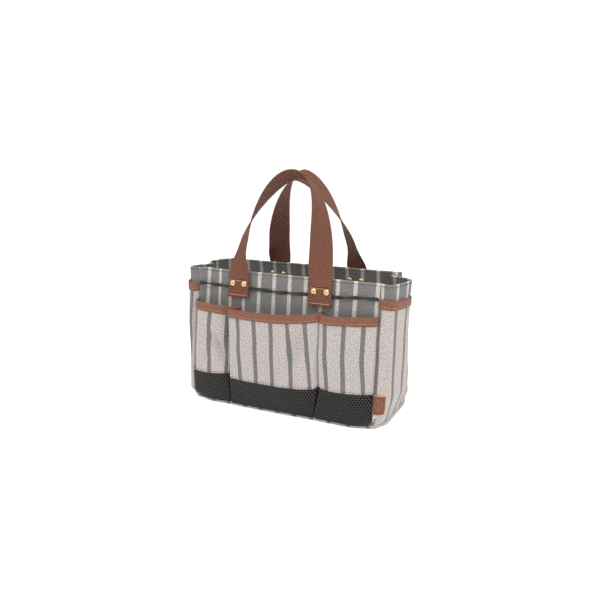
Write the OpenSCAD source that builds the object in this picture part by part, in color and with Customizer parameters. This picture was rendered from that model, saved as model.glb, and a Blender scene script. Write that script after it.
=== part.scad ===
// Garden tool bag: open-topped cloth tote with eight outer pockets and two webbing handles.
// The origin is the centre of the base on the ground, +X to the right, -Y to the front.
// The bag looks the same from the front and from the back, turned half round about Z.

/* [Body] */
// Height of the rim above the ground
rim_height = 200; // [150:1:260]
// Length between the upright corner seams
seam_span = 286; // [220:1:360]
// Depth between the front and rear walls at the rim
rim_depth = 96; // [80:1:140]
// How far each long wall leans out from the rim to the base
wall_lean = 24; // [10:1:40]
// How far the end walls bow out past the corner seams at the rim
end_bow = 31; // [20:0.5:45]
// How far the end walls bow out behind the end pockets
end_bow_low = 22; // [14:0.5:32]
// Height below the rim over which the end walls open out
flare_drop = 28; // [15:1:60]
// How far the base reaches past the corner seams
base_bow = 12; // [6:0.5:20]
// Share of its bow that the right-hand end has lost near its rear seam, where it is folded in
right_pinch = 0.8; // [0:0.05:0.9]

/* [Layers] */
// Thickness of the outer cloth
cloth = 1; // [0.6:0.1:1.6]
// Thickness of the foam board between cloth and lining
stiffener = 1.8; // [1:0.1:3]
// Thickness of the lining
lining = 0.8; // [0.5:0.1:1.4]
// Distance of the foam board below the rim
stiffener_drop = 6; // [3:1:15]
// Thickness of the hard board in the bottom
base_board_t = 2.5; // [1.5:0.1:4]
// Height of the base cloth turned up round the foot
welt_height = 6; // [4:0.5:12]

/* [Pockets] */
// Distance of the long wall pockets' mouths below the rim
pocket_drop = 47; // [42:1:90]
// Width of the left front pocket
left_pocket_w = 53; // [35:1:70]
// Width of the centre front pocket
centre_pocket_w = 148; // [110:1:170]
// Height of the top of the mesh
mesh_top = 49; // [25:1:70]
// How far the left and centre pockets bulge out at their mouths
pocket_bulge = 24; // [16:0.5:34]
// How far the right-hand pockets bulge out at their mouths
right_pocket_bulge = 16; // [12:0.5:34]
// How far they bulge just above the foot
pocket_foot_bulge = 9; // [4:0.5:14]
// Thickness of the mesh
mesh_t = 0.8; // [0.5:0.1:1.5]
// Distance of the end pockets' mouths below the rim
end_pocket_drop = 23; // [10:1:70]
// How far the end pockets stand out from the end walls
end_pocket_bulge = 7; // [6:0.5:12]
// Height of the webbing bound over each pocket edge
binding_height = 12.5; // [8:0.5:18]
// Thickness of that binding on each side of the cloth
binding_t = 1; // [0.6:0.1:1.6]

/* [Handles] */
// Width of the webbing
strap_w = 34; // [24:1:42]
// Thickness of the webbing
strap_t = 2.2; // [1.6:0.1:3]
// Distance between the two legs of a handle
handle_span = 130; // [90:1:150]
// Offset of the front handle to the left of the middle
handle_shift = 6.8; // [0:0.1:12]
// Distance below the rim where the loose loop leaves its sewn end
loop_drop = 12; // [8:1:20]
// Height of the loop above that line
loop_height = 155; // [110:1:200]
// Lean of the loop towards the other handle, in degrees
loop_lean = 14; // [8:0.5:15]
// Length of the sewn end
sewn_length = 26; // [22:1:30]

/* [Fastenings] */
// Radius of a rivet's domed cap
rivet_r = 4.5; // [3:0.1:5.5]
// Radius of its post
post_r = 1.5; // [1:0.1:2]
// Distance between the two rivets of one handle end
rivet_pitch = 19; // [14:0.5:22]
// Distance of the rivets below the loop's foot
rivet_drop = 6.5; // [5:0.5:9]
// Width of the flat elastic
elastic_w = 4.4; // [3:0.1:6]
// Thickness of the elastic
elastic_t = 1; // [0.6:0.1:1]
// Distance of the elastic below the loop's foot
elastic_drop = 12; // [10:0.5:20]
// Width of the leather label
label_w = 18; // [12:1:24]
// Height of the leather label
label_h = 27; // [18:1:34]
// Height of its lower edge
label_z = 24; // [12:1:60]
// Thickness of the leather
label_t = 1.6; // [1:0.1:2.5]

/* [Hidden] */
$fn = 48;
seam_x = seam_span / 2;
flare_from = rim_height - flare_drop;
pocket_height = rim_height - pocket_drop;
end_pocket_height = rim_height - end_pocket_drop;
loop_foot = rim_height - loop_drop;
rivet_z = loop_foot - rivet_drop;
elastic_z = loop_foot - elastic_drop;
slope = wall_lean / rim_height;
lean = atan(slope);
wall_t = cloth + stiffener + lining;
right_pocket_w = seam_span - left_pocket_w - centre_pocket_w;
left_divider = -seam_x + left_pocket_w;
right_divider = seam_x - right_pocket_w;
roundness = 2 / 2.6;      // exponent of the rounded end walls
foot_z = cloth;           // where the walls stand on the base cloth
touch = 0.1;              // clearance between soft layers that only touch
elastic_gap = 1.1;        // room left behind a handle end for the elastic
sewn_t = 2 * strap_t;     // the sewn end is folded double
inner_cap_t = 1.6;
half_turn = 27;           // length of elastic that takes one half turn
loop_round = 1.885;       // exponent of the loop's outline
loop_skew = 11;           // sideways drift of the loop's top
loop_turn = 101;          // turn of the webbing from leg to top, in degrees
loop_turn_rate = 1.15;    // 1 turns evenly with height, more turns sooner
loop_flat = 0.08;         // share of its height over which the webbing doesn't turn yet
loop_rings = 56;
joint_gap = 0.3;          // between the sewn end and the loop that swings on it

blue_gray = "#6f6d6b";
greige = "#c9c2bc";
brown = "#7d4f3a";
binding_brown = "#8a5038";

// ---- shape of the bag ----

function smooth(t) = let (c = min(1, max(0, t))) c * c * (3 - 2 * c);
function mix(a, b, t) = a + (b - a) * t;
function signed_pow(v, e) = sign(v) * pow(abs(v), e);

// depth of the outer face of a long wall at a height
function wall_y(z) = rim_depth / 2 + slope * (rim_height - z);

// bow of an end wall: tucked in at the foot, straight up, then opening to the rim
function bow(z) = mix(base_bow, end_bow_low, smooth((z - welt_height) / 30))
    + (end_bow - end_bow_low) * smooth((z - flare_from) / (rim_height - flare_from));

// share of the bow left at an angle, where an end is pinched towards its far seam
function pinched(a, z, pinch) = 1 - pinch * smooth((z - welt_height) / 60) * smooth((a + 15) / 60);

// a point of the right-hand end, off outside the cloth; the angle runs from -90 at the front to 90
function end_point(a, z, off, pinch) = [
    seam_x + (bow(z) * pinched(a, z, pinch) + off) * pow(max(0, cos(a)), roundness),
    (wall_y(z) + off) * signed_pow(sin(a), roundness),
    z
];

// how far a pocket stands out from its wall: nothing at its sides, most at its mouth
function fullness(u) = 1 - pow(abs(2 * u - 1), 6);
function pocket_out(u, z, bulge) = fullness(u) * (
    pocket_foot_bulge * smooth((z - welt_height) / 26)
    + (bulge - pocket_foot_bulge) * smooth((z - welt_height) / (pocket_height - welt_height)));
function pocket_point(p, u, z, off) = [
    mix(p[0], p[1], u),
    -wall_y(z) - touch - pocket_out(u, z, p[2]) - off,
    z
];

function end_pocket_out(a, z) = touch + end_pocket_bulge * (1 - pow(abs(a) / 90, 4))
    * smooth((z - welt_height) / 40);

// heights where a sheet has a row of points: shared, so that layers over each other stay parallel
shared_levels = [
    for (h = [0, 6, 12, 18, 24, 30, 54, 90]) welt_height + h,
    pocket_height - binding_height, pocket_height - binding_t,
    end_pocket_height - binding_height, end_pocket_height - binding_t,
    end_pocket_height + 10
];
function levels(z0, z1) = concat([z0],
    [for (z = shared_levels) if (z > z0 + 1 && z < z1 - 1) z],
    [z1]);

// a closed sheet between two grids of points, the first one outside
module sheet(outer, inner) {
    rows = len(outer);
    cols = len(outer[0]);
    function at(i, j) = i * cols + j;
    n = rows * cols;
    top = [for (i = [0:rows - 2], j = [0:cols - 2])
        each [[at(i, j), at(i + 1, j), at(i + 1, j + 1)], [at(i, j), at(i + 1, j + 1), at(i, j + 1)]]];
    back = [for (f = top) [f[2] + n, f[1] + n, f[0] + n]];
    border = concat(
        [for (i = [0:rows - 2]) at(i, 0)],
        [for (j = [0:cols - 2]) at(rows - 1, j)],
        [for (i = [rows - 1:-1:1]) at(i, cols - 1)],
        [for (j = [cols - 1:-1:1]) at(0, j)]);
    count = len(border);
    sides = [for (k = [0:count - 1]) let (a = border[k], b = border[(k + 1) % count])
        each [[b, a, a + n], [b, a + n, b + n]]];
    polyhedron(points = concat([for (r = outer) each r], [for (r = inner) each r]),
        faces = concat(top, back, sides));
}

// a closed bar through rings of points that all have the same count
module swept(rings) {
    sides = len(rings[0]);
    last = len(rings) - 1;
    walls = [for (i = [0:last - 1], j = [0:sides - 1]) let (k = (j + 1) % sides)
        each [[i * sides + j, i * sides + k, (i + 1) * sides + k],
            [i * sides + j, (i + 1) * sides + k, (i + 1) * sides + j]]];
    polyhedron(points = [for (r = rings) each r],
        faces = concat(walls, [[for (j = [sides - 1:-1:0]) j]],
            [[for (j = [0:sides - 1]) last * sides + j]]));
}

// share of a pocket's width at a column: columns crowd towards its sides, where it curves most
function spread(j, cols) = (1 - cos(180 * j / cols)) / 2;

// part of a long wall pocket from z0 to z1, between two distances from the pocket's own surface
module pocket_sheet(p, z0, z1, low, high, cols = 14) {
    grid = [for (off = [high, low]) [for (z = levels(z0, z1))
        [for (j = [0:cols]) pocket_point(p, spread(j, cols), z, off)]]];
    sheet(grid[0], grid[1]);
}

// part of an end from z0 to z1, between two distances from the wall or from the pocket on it
module end_sheet(pinch, z0, z1, low, high, pocket = false, a0 = -90, a1 = 90, cols = 18) {
    grid = [for (off = [high, low]) [for (z = levels(z0, z1))
        [for (j = [0:cols]) let (a = mix(a0, a1, j / cols))
            end_point(a, z, off + (pocket ? end_pocket_out(a, z) : 0), pinch)]]];
    sheet(grid[0], grid[1]);
}

// slab of the front wall, between two depths inward from the outer face
module wall_slab(z0, z1, near, far, half) {
    translate([half, 0, 0]) rotate([90, 0, -90]) linear_extrude(2 * half)
        polygon([[wall_y(z0) - near, z0], [wall_y(z1) - near, z1],
            [wall_y(z1) - far, z1], [wall_y(z0) - far, z0]]);
}

// outline of the bag's plan at a height, off outside the cloth
module plan(z, off) {
    side = [for (j = [0:18]) let (q = end_point(mix(-90, 90, j / 18), z, off, 0)) [q[0], q[1]]];
    polygon(concat(side, [for (q = side) -q]));
}

module behind() {
    rotate([0, 0, 180]) children();
}

// places things on the front wall: local X to the right, Y up the cloth, Z out of it
module on_wall(x, z) {
    translate([x, -wall_y(z), z]) rotate([90 - lean, 0, 0]) children();
}

leg_x = [-handle_shift - handle_span / 2, -handle_shift + handle_span / 2];

module rivet_places() {
    for (x = leg_x, s = [-1, 1]) on_wall(x + s * rivet_pitch / 2, rivet_z) children();
}

module rivet_bores() {
    rivet_places() translate([0, 0, -2 * wall_t]) cylinder(r = post_r, h = 4 * wall_t);
}

// ---- walls and base ----

module long_panel() {
    color(blue_gray) difference() {
        wall_slab(foot_z, rim_height, 0, cloth, seam_x);
        rivet_bores();
    }
}

module end_panel(pinch) {
    color(blue_gray) end_sheet(pinch, foot_z, rim_height, -cloth, 0);
}

module base_panel() {
    color(greige) {
        linear_extrude(foot_z) plan(0, cloth + touch);
        difference() {
            linear_extrude(welt_height) plan(0, cloth + touch);
            translate([0, 0, -1]) linear_extrude(welt_height + 2) plan(0, touch);
        }
    }
}

module long_stiffener() {
    color("#d8d4cc") difference() {
        wall_slab(foot_z + base_board_t, rim_height - stiffener_drop,
            cloth, cloth + stiffener, seam_x - 2);
        rivet_bores();
    }
}

module base_board() {
    color("#a88f6a") translate([0, 0, foot_z]) linear_extrude(base_board_t)
        plan(0, -cloth - wall_t);
}

module long_lining() {
    color(blue_gray) difference() {
        wall_slab(foot_z + base_board_t + lining, rim_height,
            cloth + stiffener, wall_t, seam_x - 2);
        rivet_bores();
    }
}

module end_lining(pinch) {
    color(blue_gray) end_sheet(pinch, foot_z + base_board_t + lining, rim_height,
        -cloth - lining, -cloth - touch, a0 = -80, a1 = 80, cols = 16);
}

module base_lining() {
    color(blue_gray) translate([0, 0, foot_z + base_board_t]) linear_extrude(lining)
        plan(0, -cloth - wall_t);
}

// ---- pockets ----

// left side, right side and bulge of each pocket on a long wall
left_pocket = [-seam_x, left_divider, pocket_bulge];
centre_pocket = [left_divider, right_divider, pocket_bulge];
right_pocket = [right_divider, seam_x, right_pocket_bulge];

module pocket_cloth(p) {
    color(greige) pocket_sheet(p, mesh_top, pocket_height - binding_t, 0, cloth);
}

module pocket_mesh(p) {
    color("#1c1c1c") pocket_sheet(p, welt_height, mesh_top, 0, mesh_t);
}

// cross-section of the webbing over a mouth, as [height, distance]: down the outside, bent over
// the edge and resting on its inner face
function binding_section(top) = [
    [top - binding_height, cloth + binding_t], [top - binding_height, cloth + touch],
    [top - binding_t + touch, cloth + touch], [top - binding_t + touch, 0], [top, 0],
    [top, cloth + binding_t]
];

module pocket_binding(p, cols = 14) {
    color(binding_brown) swept([for (j = [0:cols])
        [for (q = binding_section(pocket_height)) pocket_point(p, spread(j, cols), q[0], q[1])]]);
}

module end_pocket(pinch) {
    color(greige) end_sheet(pinch, welt_height, end_pocket_height - binding_t, 0, cloth,
        pocket = true);
}

module end_binding(pinch, cols = 18) {
    color(binding_brown) swept([for (j = [0:cols]) let (a = mix(-90, 90, j / cols))
        [for (q = binding_section(end_pocket_height))
            end_point(a, q[0], q[1] + end_pocket_out(a, q[0]), pinch)]]);
}

// ---- elastic, label and rivets ----

// ends of the spans that the elastic crosses free of a handle end
spans = [
    [-seam_x, leg_x[0] - strap_w / 2],
    [leg_x[0] + strap_w / 2, leg_x[1] - strap_w / 2],
    [leg_x[1] + strap_w / 2, seam_x]
];

// one ring of the elastic: turned by an angle about its own line and held off the wall
function elastic_ring(x, turn, lift) = let (
    c = [x, -wall_y(elastic_z) - touch - elastic_t / 2 - lift, elastic_z],
    w = elastic_w / 2 * [0, sin(turn + lean), cos(turn + lean)],
    t = elastic_t / 2 * [0, -cos(turn + lean), sin(turn + lean)])
    [c + w + t, c - w + t, c - w - t, c + w - t];

// half turns in a span, and rings through it: clear of the wall while the elastic turns
function span_turns(s) = round((s[1] - s[0]) / half_turn);
function span_rings(s, first_turn) = let (turns = span_turns(s), steps = 8 * turns)
    [for (i = [0:steps]) let (u = i / steps, turn = 180 * turns * u)
        elastic_ring(mix(s[0], s[1], u), 180 * first_turn + turn, elastic_w / 2 * abs(sin(turn)))];

module elastic() {
    color("#161616") swept(concat(
        span_rings(spans[0], 0),
        span_rings(spans[1], span_turns(spans[0])),
        span_rings(spans[2], span_turns(spans[0]) + span_turns(spans[1]))));
}

module leather_label() {
    a1 = -90 + 90 * label_w / 52;
    low = cloth + touch;
    color("#a05a3c") end_sheet(right_pinch, label_z, label_z + label_h, low, low + label_t,
        pocket = true, a0 = -89, a1 = a1, cols = 6);
}

module rivet_caps() {
    color("#c8b070") rivet_places() translate([0, 0, elastic_gap + sewn_t]) intersection() {
        translate([0, 0, -rivet_r * 0.55]) sphere(r = rivet_r * 1.14);
        cylinder(r = rivet_r, h = rivet_r);
    }
}

module rivet_posts() {
    color("#c8b070") rivet_places() {
        translate([0, 0, -wall_t]) cylinder(r = post_r, h = wall_t + elastic_gap + sewn_t);
        translate([0, 0, -wall_t - inner_cap_t]) cylinder(r = rivet_r, h = inner_cap_t);
    }
}

// ---- handles ----

// the sewn end of one leg: the webbing folded double, with its fold at the bottom
module handle_end(x) {
    color(brown) difference() {
        on_wall(x, loop_foot - joint_gap) translate([-strap_w / 2, -sewn_length, elastic_gap]) {
            translate([0, strap_t, 0]) cube([strap_w, sewn_length - strap_t, sewn_t]);
            translate([0, strap_t, strap_t]) rotate([0, 90, 0]) cylinder(r = strap_t, h = strap_w);
        }
        rivet_bores();
    }
}

// the hinge line runs along the outer face of the webbing, where it bends at its top stitches
hinge_y = wall_y(loop_foot) + elastic_gap + sewn_t;
loop_y = wall_y(loop_foot) + elastic_gap + sewn_t - strap_t / 2;

// a point of the loop's middle line: a rounded arch in its own leaning plane
function loop_plane(t) = [
    -handle_span / 2 * signed_pow(cos(t), 2 / loop_round),
    loop_height * pow(abs(sin(t)), 2 / loop_round)
];
function loop_centre(t) = let (q = loop_plane(t), rise = q[1] / loop_height) [
    -handle_shift + q[0] + loop_skew * rise * rise,
    -loop_y + q[1] * sin(loop_lean),
    loop_foot + q[1] * cos(loop_lean)
];

// the webbing turns from facing out at its feet to facing up at the top
function loop_ring(t) = let (
    step = 0.5,
    along = loop_centre(min(180, t + step)) - loop_centre(max(0, t - step)),
    d = t <= 0 || t >= 180 ? [0, sin(loop_lean), cos(loop_lean)] * (t <= 0 ? 1 : -1) : along / norm(along),
    rise = loop_plane(t)[1] / loop_height,
    turn = loop_turn * (1 - pow(1 - max(0, rise - loop_flat) / (1 - loop_flat), loop_turn_rate)),
    back = [0, cos(loop_lean), -sin(loop_lean)],
    out = cross(d, back),
    face = -cos(turn) * back + sin(turn) * out,
    w = strap_w / 2 * cross(d, face) / norm(cross(d, face)),
    f = strap_t / 2 * face / norm(face),
    c = loop_centre(t))
    [c + w + f, c - w + f, c - w - f, c + w - f];

// the loop's two feet are cut along the upper edges of the sewn ends
module handle_loop() {
    color(brown) difference() {
        swept([for (i = [0:loop_rings]) loop_ring(180 * i / loop_rings)]);
        on_wall(0, loop_foot) translate([-seam_span, -strap_w, -strap_w])
            cube([2 * seam_span, strap_w, 2 * strap_w]);
    }
}

// ---- the pieces ----

long_panel();  // front_panel
behind() long_panel();  // rear_panel
behind() end_panel(0);  // left_end_panel
end_panel(right_pinch);  // right_end_panel
base_panel();
long_stiffener();  // front_stiffener
behind() long_stiffener();  // rear_stiffener
base_board();
long_lining();  // front_lining
behind() long_lining();  // rear_lining
behind() end_lining(0);  // left_end_lining
end_lining(right_pinch);  // right_end_lining
base_lining();
pocket_cloth(left_pocket);  // front_left_pocket
pocket_cloth(centre_pocket);  // front_centre_pocket
pocket_cloth(right_pocket);  // front_right_pocket
pocket_mesh(left_pocket);  // front_left_mesh
pocket_mesh(centre_pocket);  // front_centre_mesh
pocket_mesh(right_pocket);  // front_right_mesh
pocket_binding(left_pocket);  // front_left_binding
pocket_binding(centre_pocket);  // front_centre_binding
pocket_binding(right_pocket);  // front_right_binding
behind() pocket_cloth(left_pocket);  // rear_left_pocket
behind() pocket_cloth(centre_pocket);  // rear_centre_pocket
behind() pocket_cloth(right_pocket);  // rear_right_pocket
behind() pocket_mesh(left_pocket);  // rear_left_mesh
behind() pocket_mesh(centre_pocket);  // rear_centre_mesh
behind() pocket_mesh(right_pocket);  // rear_right_mesh
behind() pocket_binding(left_pocket);  // rear_left_binding
behind() pocket_binding(centre_pocket);  // rear_centre_binding
behind() pocket_binding(right_pocket);  // rear_right_binding
behind() end_pocket(0);  // left_end_pocket
end_pocket(right_pinch);  // right_end_pocket
behind() end_binding(0);  // left_end_binding
end_binding(right_pinch);  // right_end_binding
elastic();  // front_elastic
behind() elastic();  // rear_elastic
handle_end(leg_x[0]);  // front_left_handle_end
handle_end(leg_x[1]);  // front_right_handle_end
behind() handle_end(leg_x[0]);  // rear_left_handle_end
behind() handle_end(leg_x[1]);  // rear_right_handle_end
handle_loop();  // front_handle_loop
behind() handle_loop();  // rear_handle_loop
rivet_caps();  // front_rivet_caps
rivet_posts();  // front_rivet_posts
behind() rivet_caps();  // rear_rivet_caps
behind() rivet_posts();  // rear_rivet_posts
leather_label();
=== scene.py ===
"""Garden tool bag: a striped canvas tote with pockets all round and two webbing handles.

Each section below makes one piece or one group of like pieces, in the order they are sewn together.
Lengths are in metres."""

import math

import bpy
import numpy as np
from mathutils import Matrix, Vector


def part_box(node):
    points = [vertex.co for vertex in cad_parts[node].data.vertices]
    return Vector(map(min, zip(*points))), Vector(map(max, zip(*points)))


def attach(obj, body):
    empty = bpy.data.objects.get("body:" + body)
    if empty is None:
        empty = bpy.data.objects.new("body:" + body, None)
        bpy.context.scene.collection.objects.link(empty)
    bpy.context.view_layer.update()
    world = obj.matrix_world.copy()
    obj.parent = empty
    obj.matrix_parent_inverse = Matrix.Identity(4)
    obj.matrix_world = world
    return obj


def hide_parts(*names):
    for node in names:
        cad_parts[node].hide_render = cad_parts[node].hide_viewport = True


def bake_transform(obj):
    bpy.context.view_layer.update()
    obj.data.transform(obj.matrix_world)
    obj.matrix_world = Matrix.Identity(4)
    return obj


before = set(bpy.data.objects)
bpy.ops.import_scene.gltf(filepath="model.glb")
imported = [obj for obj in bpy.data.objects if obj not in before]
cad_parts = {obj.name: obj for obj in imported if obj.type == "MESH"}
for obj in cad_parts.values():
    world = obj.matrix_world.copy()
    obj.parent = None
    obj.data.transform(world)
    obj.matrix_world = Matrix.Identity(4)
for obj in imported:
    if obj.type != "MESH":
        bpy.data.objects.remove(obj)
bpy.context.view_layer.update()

# ---------------------------------------------------------------------------------------------
# Studio: white paper under the bag, a large soft lamp on the right, a weaker one on the left and
# one overhead. The camera stands to the right of the front and looks a little down.

rim_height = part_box("front_panel")[1][2]
scene = bpy.context.scene

lens = bpy.data.cameras.new("camera")
lens.lens = 39.0
lens.sensor_width = 36.0
camera = bpy.data.objects.new("camera", lens)
camera.location = (0.4121, -0.8526, 0.3749)
look = Vector((0.0014, 0.0, 0.1535)) - camera.location
camera.rotation_euler = look.to_track_quat("-Z", "Y").to_euler()
scene.collection.objects.link(camera)
scene.camera = camera

for name, place, size, power in (
    ("key", (1.5, -0.5, 1.2), 0.9, 14.0),
    ("fill", (-1.4, -1.3, 1.2), 0.8, 11.0),
    ("top", (0.1, -0.7, 1.9), 1.4, 21.0),
    ("back", (0.4, 1.8, 1.2), 1.4, 6.0),
):
    light = bpy.data.lights.new(name, "AREA")
    light.size = size
    light.energy = power
    lamp = bpy.data.objects.new(name, light)
    lamp.location = place
    lamp.rotation_euler = (Vector((0, 0, 0.12)) - Vector(place)).to_track_quat("-Z", "Y").to_euler()
    scene.collection.objects.link(lamp)

world = bpy.data.worlds.new("studio")
world.use_nodes = True
world_tree = world.node_tree
lit = world_tree.nodes["Background"]
# the paper runs on behind the bag: looked at straight, the surroundings are plain white
seen = world_tree.nodes.new("ShaderNodeBackground")
for surroundings, strength in ((lit, 0.66), (seen, 1.05)):
    surroundings.inputs["Color"].default_value = (1.0, 1.0, 1.0, 1.0)
    surroundings.inputs["Strength"].default_value = strength
which = world_tree.nodes.new("ShaderNodeMixShader")
looked_at = world_tree.nodes.new("ShaderNodeLightPath").outputs["Is Camera Ray"]
world_tree.links.new(looked_at, which.inputs[0])
world_tree.links.new(lit.outputs[0], which.inputs[1])
world_tree.links.new(seen.outputs[0], which.inputs[2])
world_tree.links.new(which.outputs[0], world_tree.nodes["World Output"].inputs["Surface"])
scene.world = world
scene.view_settings.view_transform = "Standard"


def new_material(name, roughness):
    made = bpy.data.materials.new(name)
    made.use_nodes = True
    shader = made.node_tree.nodes["Principled BSDF"]
    shader.inputs["Roughness"].default_value = roughness
    return made, made.node_tree, shader


bpy.ops.mesh.primitive_plane_add(size=60.0, location=(0.0, 0.0, 0.0))
paper = bpy.context.object
paper.name = "paper"
paper_finish, _, paper_shader = new_material("paper", roughness=0.9)
paper_shader.inputs["Base Color"].default_value = (0.93, 0.93, 0.93, 1.0)
paper_shader.inputs["Emission Color"].default_value = (1.0, 1.0, 1.0, 1.0)
paper_shader.inputs["Emission Strength"].default_value = 0.40
paper.data.materials.append(paper_finish)

# ---------------------------------------------------------------------------------------------
# Outer walls: four panels of heavy canvas, slate grey with pale stripes, sewn along the upright
# corners. Their top edge is turned over to the inside. The ends bow out, and the right-hand one is
# folded in along its rear seam.

seam_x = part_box("front_panel")[1][0]
foot_y = -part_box("front_panel")[0][1]
canvas_t = 0.001
rim_y = -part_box("front_panel")[1][1] + canvas_t
turned_down = 0.008       # height of the turned edge inside
turned_r = {"front": 0.0019, "rear": 0.0019, "left": 0.0013, "right": 0.0013}  # radius of its fold
stripe_pitch = 0.0246
fold_x = -0.129           # soft upright hollow near the left corner
MM = 0.001


def smooth(t):
    """0 up to 0, 1 from 1, and an even S between."""
    t = np.clip(t, 0.0, 1.0)
    return t * t * (3.0 - 2.0 * t)


def mix(a, b, t):
    return a + (b - a) * t


def wall_depth(z):
    """Distance of a long wall's plane from the middle: it leans out evenly towards the foot."""
    return rim_y + (foot_y - rim_y) * (1.0 - z / rim_height)


def curve(control, t, paced_by=None):
    """Smooth curve through control points, run through evenly by length, or at the pace of another
    such curve. Cubic pieces whose slope at a point is the weighted harmonic mean of the two chords
    there, or nothing where these turn back, so that it never swings past a point."""
    p = np.asarray(control, float)
    pace = p if paced_by is None else np.asarray(paced_by, float)
    d = np.r_[0.0, np.cumsum(np.linalg.norm(np.diff(pace, axis=0), axis=1))]
    d /= d[-1]
    step = np.diff(d)[:, None]
    chord = np.diff(p, axis=0) / step
    a, b = chord[:-1], chord[1:]
    agree = a * b > 0
    a, b = np.where(agree, a, 1.0), np.where(agree, b, 1.0)
    w, v = 2 * step[1:] + step[:-1], step[1:] + 2 * step[:-1]
    slope = np.concatenate([chord[:1], np.where(agree, (w + v) / (w / a + v / b), 0.0), chord[-1:]])
    i = np.clip(np.searchsorted(d, t, side="right") - 1, 0, len(d) - 2)
    h = (d[i + 1] - d[i])[:, None]
    s = (t - d[i])[:, None] / h
    return ((1 + 2 * s) * (1 - s) ** 2 * p[i] + s * (1 - s) ** 2 * h * slope[i]
            + s * s * (3 - 2 * s) * p[i + 1] + s * s * (s - 1) * h * slope[i + 1])


def between_levels(levels, t, z):
    """Plan curves given at a few heights, eased from one height to the next: returns x and y for
    every column t and height z."""
    heights = [level[0] * MM for level in levels]
    plans = [curve(level[1], t) * MM for level in levels]
    out = np.broadcast_to(plans[0][None], (len(z), len(t), 2)).copy()
    for k in range(len(levels) - 1):
        w = smooth((z - heights[k]) / (heights[k + 1] - heights[k]))[:, None, None]
        out = mix(out, plans[k + 1][None], w)
    return out


base_end = [(143, -72), (149, -71.5), (153.5, -67), (155, -50), (155, -30), (155, -10),
            (155, 10), (155, 30), (155, 50), (153.5, 67), (149, 71.5), (143, 72)]
right_wall_levels = [
    (0, base_end),
    (110, [(143, -58.8), (150, -60), (157, -57), (161, -42), (164, -24), (164, -6),
           (160, 8), (155, 19), (149, 30), (145, 40), (143, 50), (143, 58.8)]),
    (200, [(143, -48), (152, -51.5), (161, -50.5), (167, -36), (171.5, -20), (173, -6),
           (168, 4.5), (157, 10), (146, 13), (138, 19), (138.5, 33), (143, 48)]),
]
left_wall_levels = [
    (0, [(-x, -y) for x, y in base_end]),
    (110, [(-143, 58.8), (-148, 50), (-154, 38), (-158, 24), (-161, 10), (-162, -5),
           (-162, -20), (-162, -34), (-161, -46), (-158, -55), (-151, -59.5), (-143, -58.8)]),
    (200, [(-143, 48), (-152, 34), (-159, 19), (-161, 8), (-154, -3), (-147, -10.5),
           (-152, -19), (-159, -31), (-162.6, -41), (-160, -48.5), (-152, -50.5), (-143, -48)]),
]


def front_wall(t, z):
    """The front wall's outer face: a leaning plane with a soft upright hollow near its left side
    and slow waves along the rim."""
    x = mix(-seam_x, seam_x, t)[None, :] + 0.0 * z[:, None]
    depth = wall_depth(z)[:, None] + 0.0 * x
    upper = smooth((z / rim_height - 0.55) / 0.45)[:, None]
    sides = np.sin(np.pi * t)[None, :] ** 0.5
    depth -= 0.0042 * upper * np.exp(-((x - fold_x) / 0.0095) ** 2)
    depth += 0.0016 * upper * np.exp(-((x + 0.148) / 0.010) ** 2)
    depth += 0.0008 * upper * sides * np.sin(x * 52.0 + 0.6)
    return np.stack([x, -depth], axis=2)


def right_wall(t, z):
    return between_levels(right_wall_levels, t, z)


def left_wall(t, z):
    return between_levels(left_wall_levels, t, z)


def rear_wall(t, z):
    """The rear wall: the same plane turned half round, with its own slow waves."""
    x = mix(seam_x, -seam_x, t)[None, :] + 0.0 * z[:, None]
    upper = smooth((z / rim_height - 0.5) / 0.5)[:, None]
    sides = np.sin(np.pi * t)[None, :] ** 0.5
    depth = wall_depth(z)[:, None] + 0.0015 * upper * sides * np.sin(x * 38.0 + 1.0)
    return np.stack([x, depth], axis=2)


def outward(plan):
    """Level unit vectors that point out of a wall whose columns run anticlockwise."""
    along = np.gradient(plan, axis=1)
    n = np.stack([along[..., 1], -along[..., 0]], axis=2)
    return n / np.maximum(np.linalg.norm(n, axis=2, keepdims=True), 1e-9)


def tucked(points):
    """Draws the bag's four corners in near the ground, where the base is rounded: nothing from
    16 mm up, 8 mm along X and 7 mm along Y at the ground."""
    x, y, z = points[..., 0], points[..., 1], points[..., 2]
    share = smooth((np.abs(x) - 0.112) / 0.036) * smooth((np.abs(y) - 0.036) / 0.036)
    share = share * (1 - smooth(z / 0.016))
    return points - np.stack([0.008 * share * np.sign(x), 0.007 * share * np.sign(y), 0.0 * z], axis=-1)


def raised(plan, z, off):
    """Points of a wall at heights z, moved out by off, which may differ from row to row."""
    off = np.broadcast_to(np.asarray(off, float), z.shape)
    flat = plan + outward(plan) * off[:, None, None]
    return tucked(np.concatenate([flat, np.broadcast_to(z[:, None, None], flat.shape[:2] + (1,))], axis=2))


def run_length(points, axis):
    """Mean distance run along the rows or the columns of a grid of points."""
    step = np.linalg.norm(np.diff(points, axis=axis), axis=2).mean(axis=1 - axis)
    return np.r_[0.0, np.cumsum(step)]


def add_mesh(name, points, faces, soft=True):
    """A new piece from an array of points and a list of faces, shaded smoothly unless told not to."""
    mesh = bpy.data.meshes.new(name)
    mesh.from_pydata(points.reshape(-1, 3).tolist(), [], faces)
    mesh.polygons.foreach_set("use_smooth", np.full(len(mesh.polygons), soft))
    mesh.update()
    piece = bpy.data.objects.new(name, mesh)
    scene.collection.objects.link(piece)
    return piece


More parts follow.
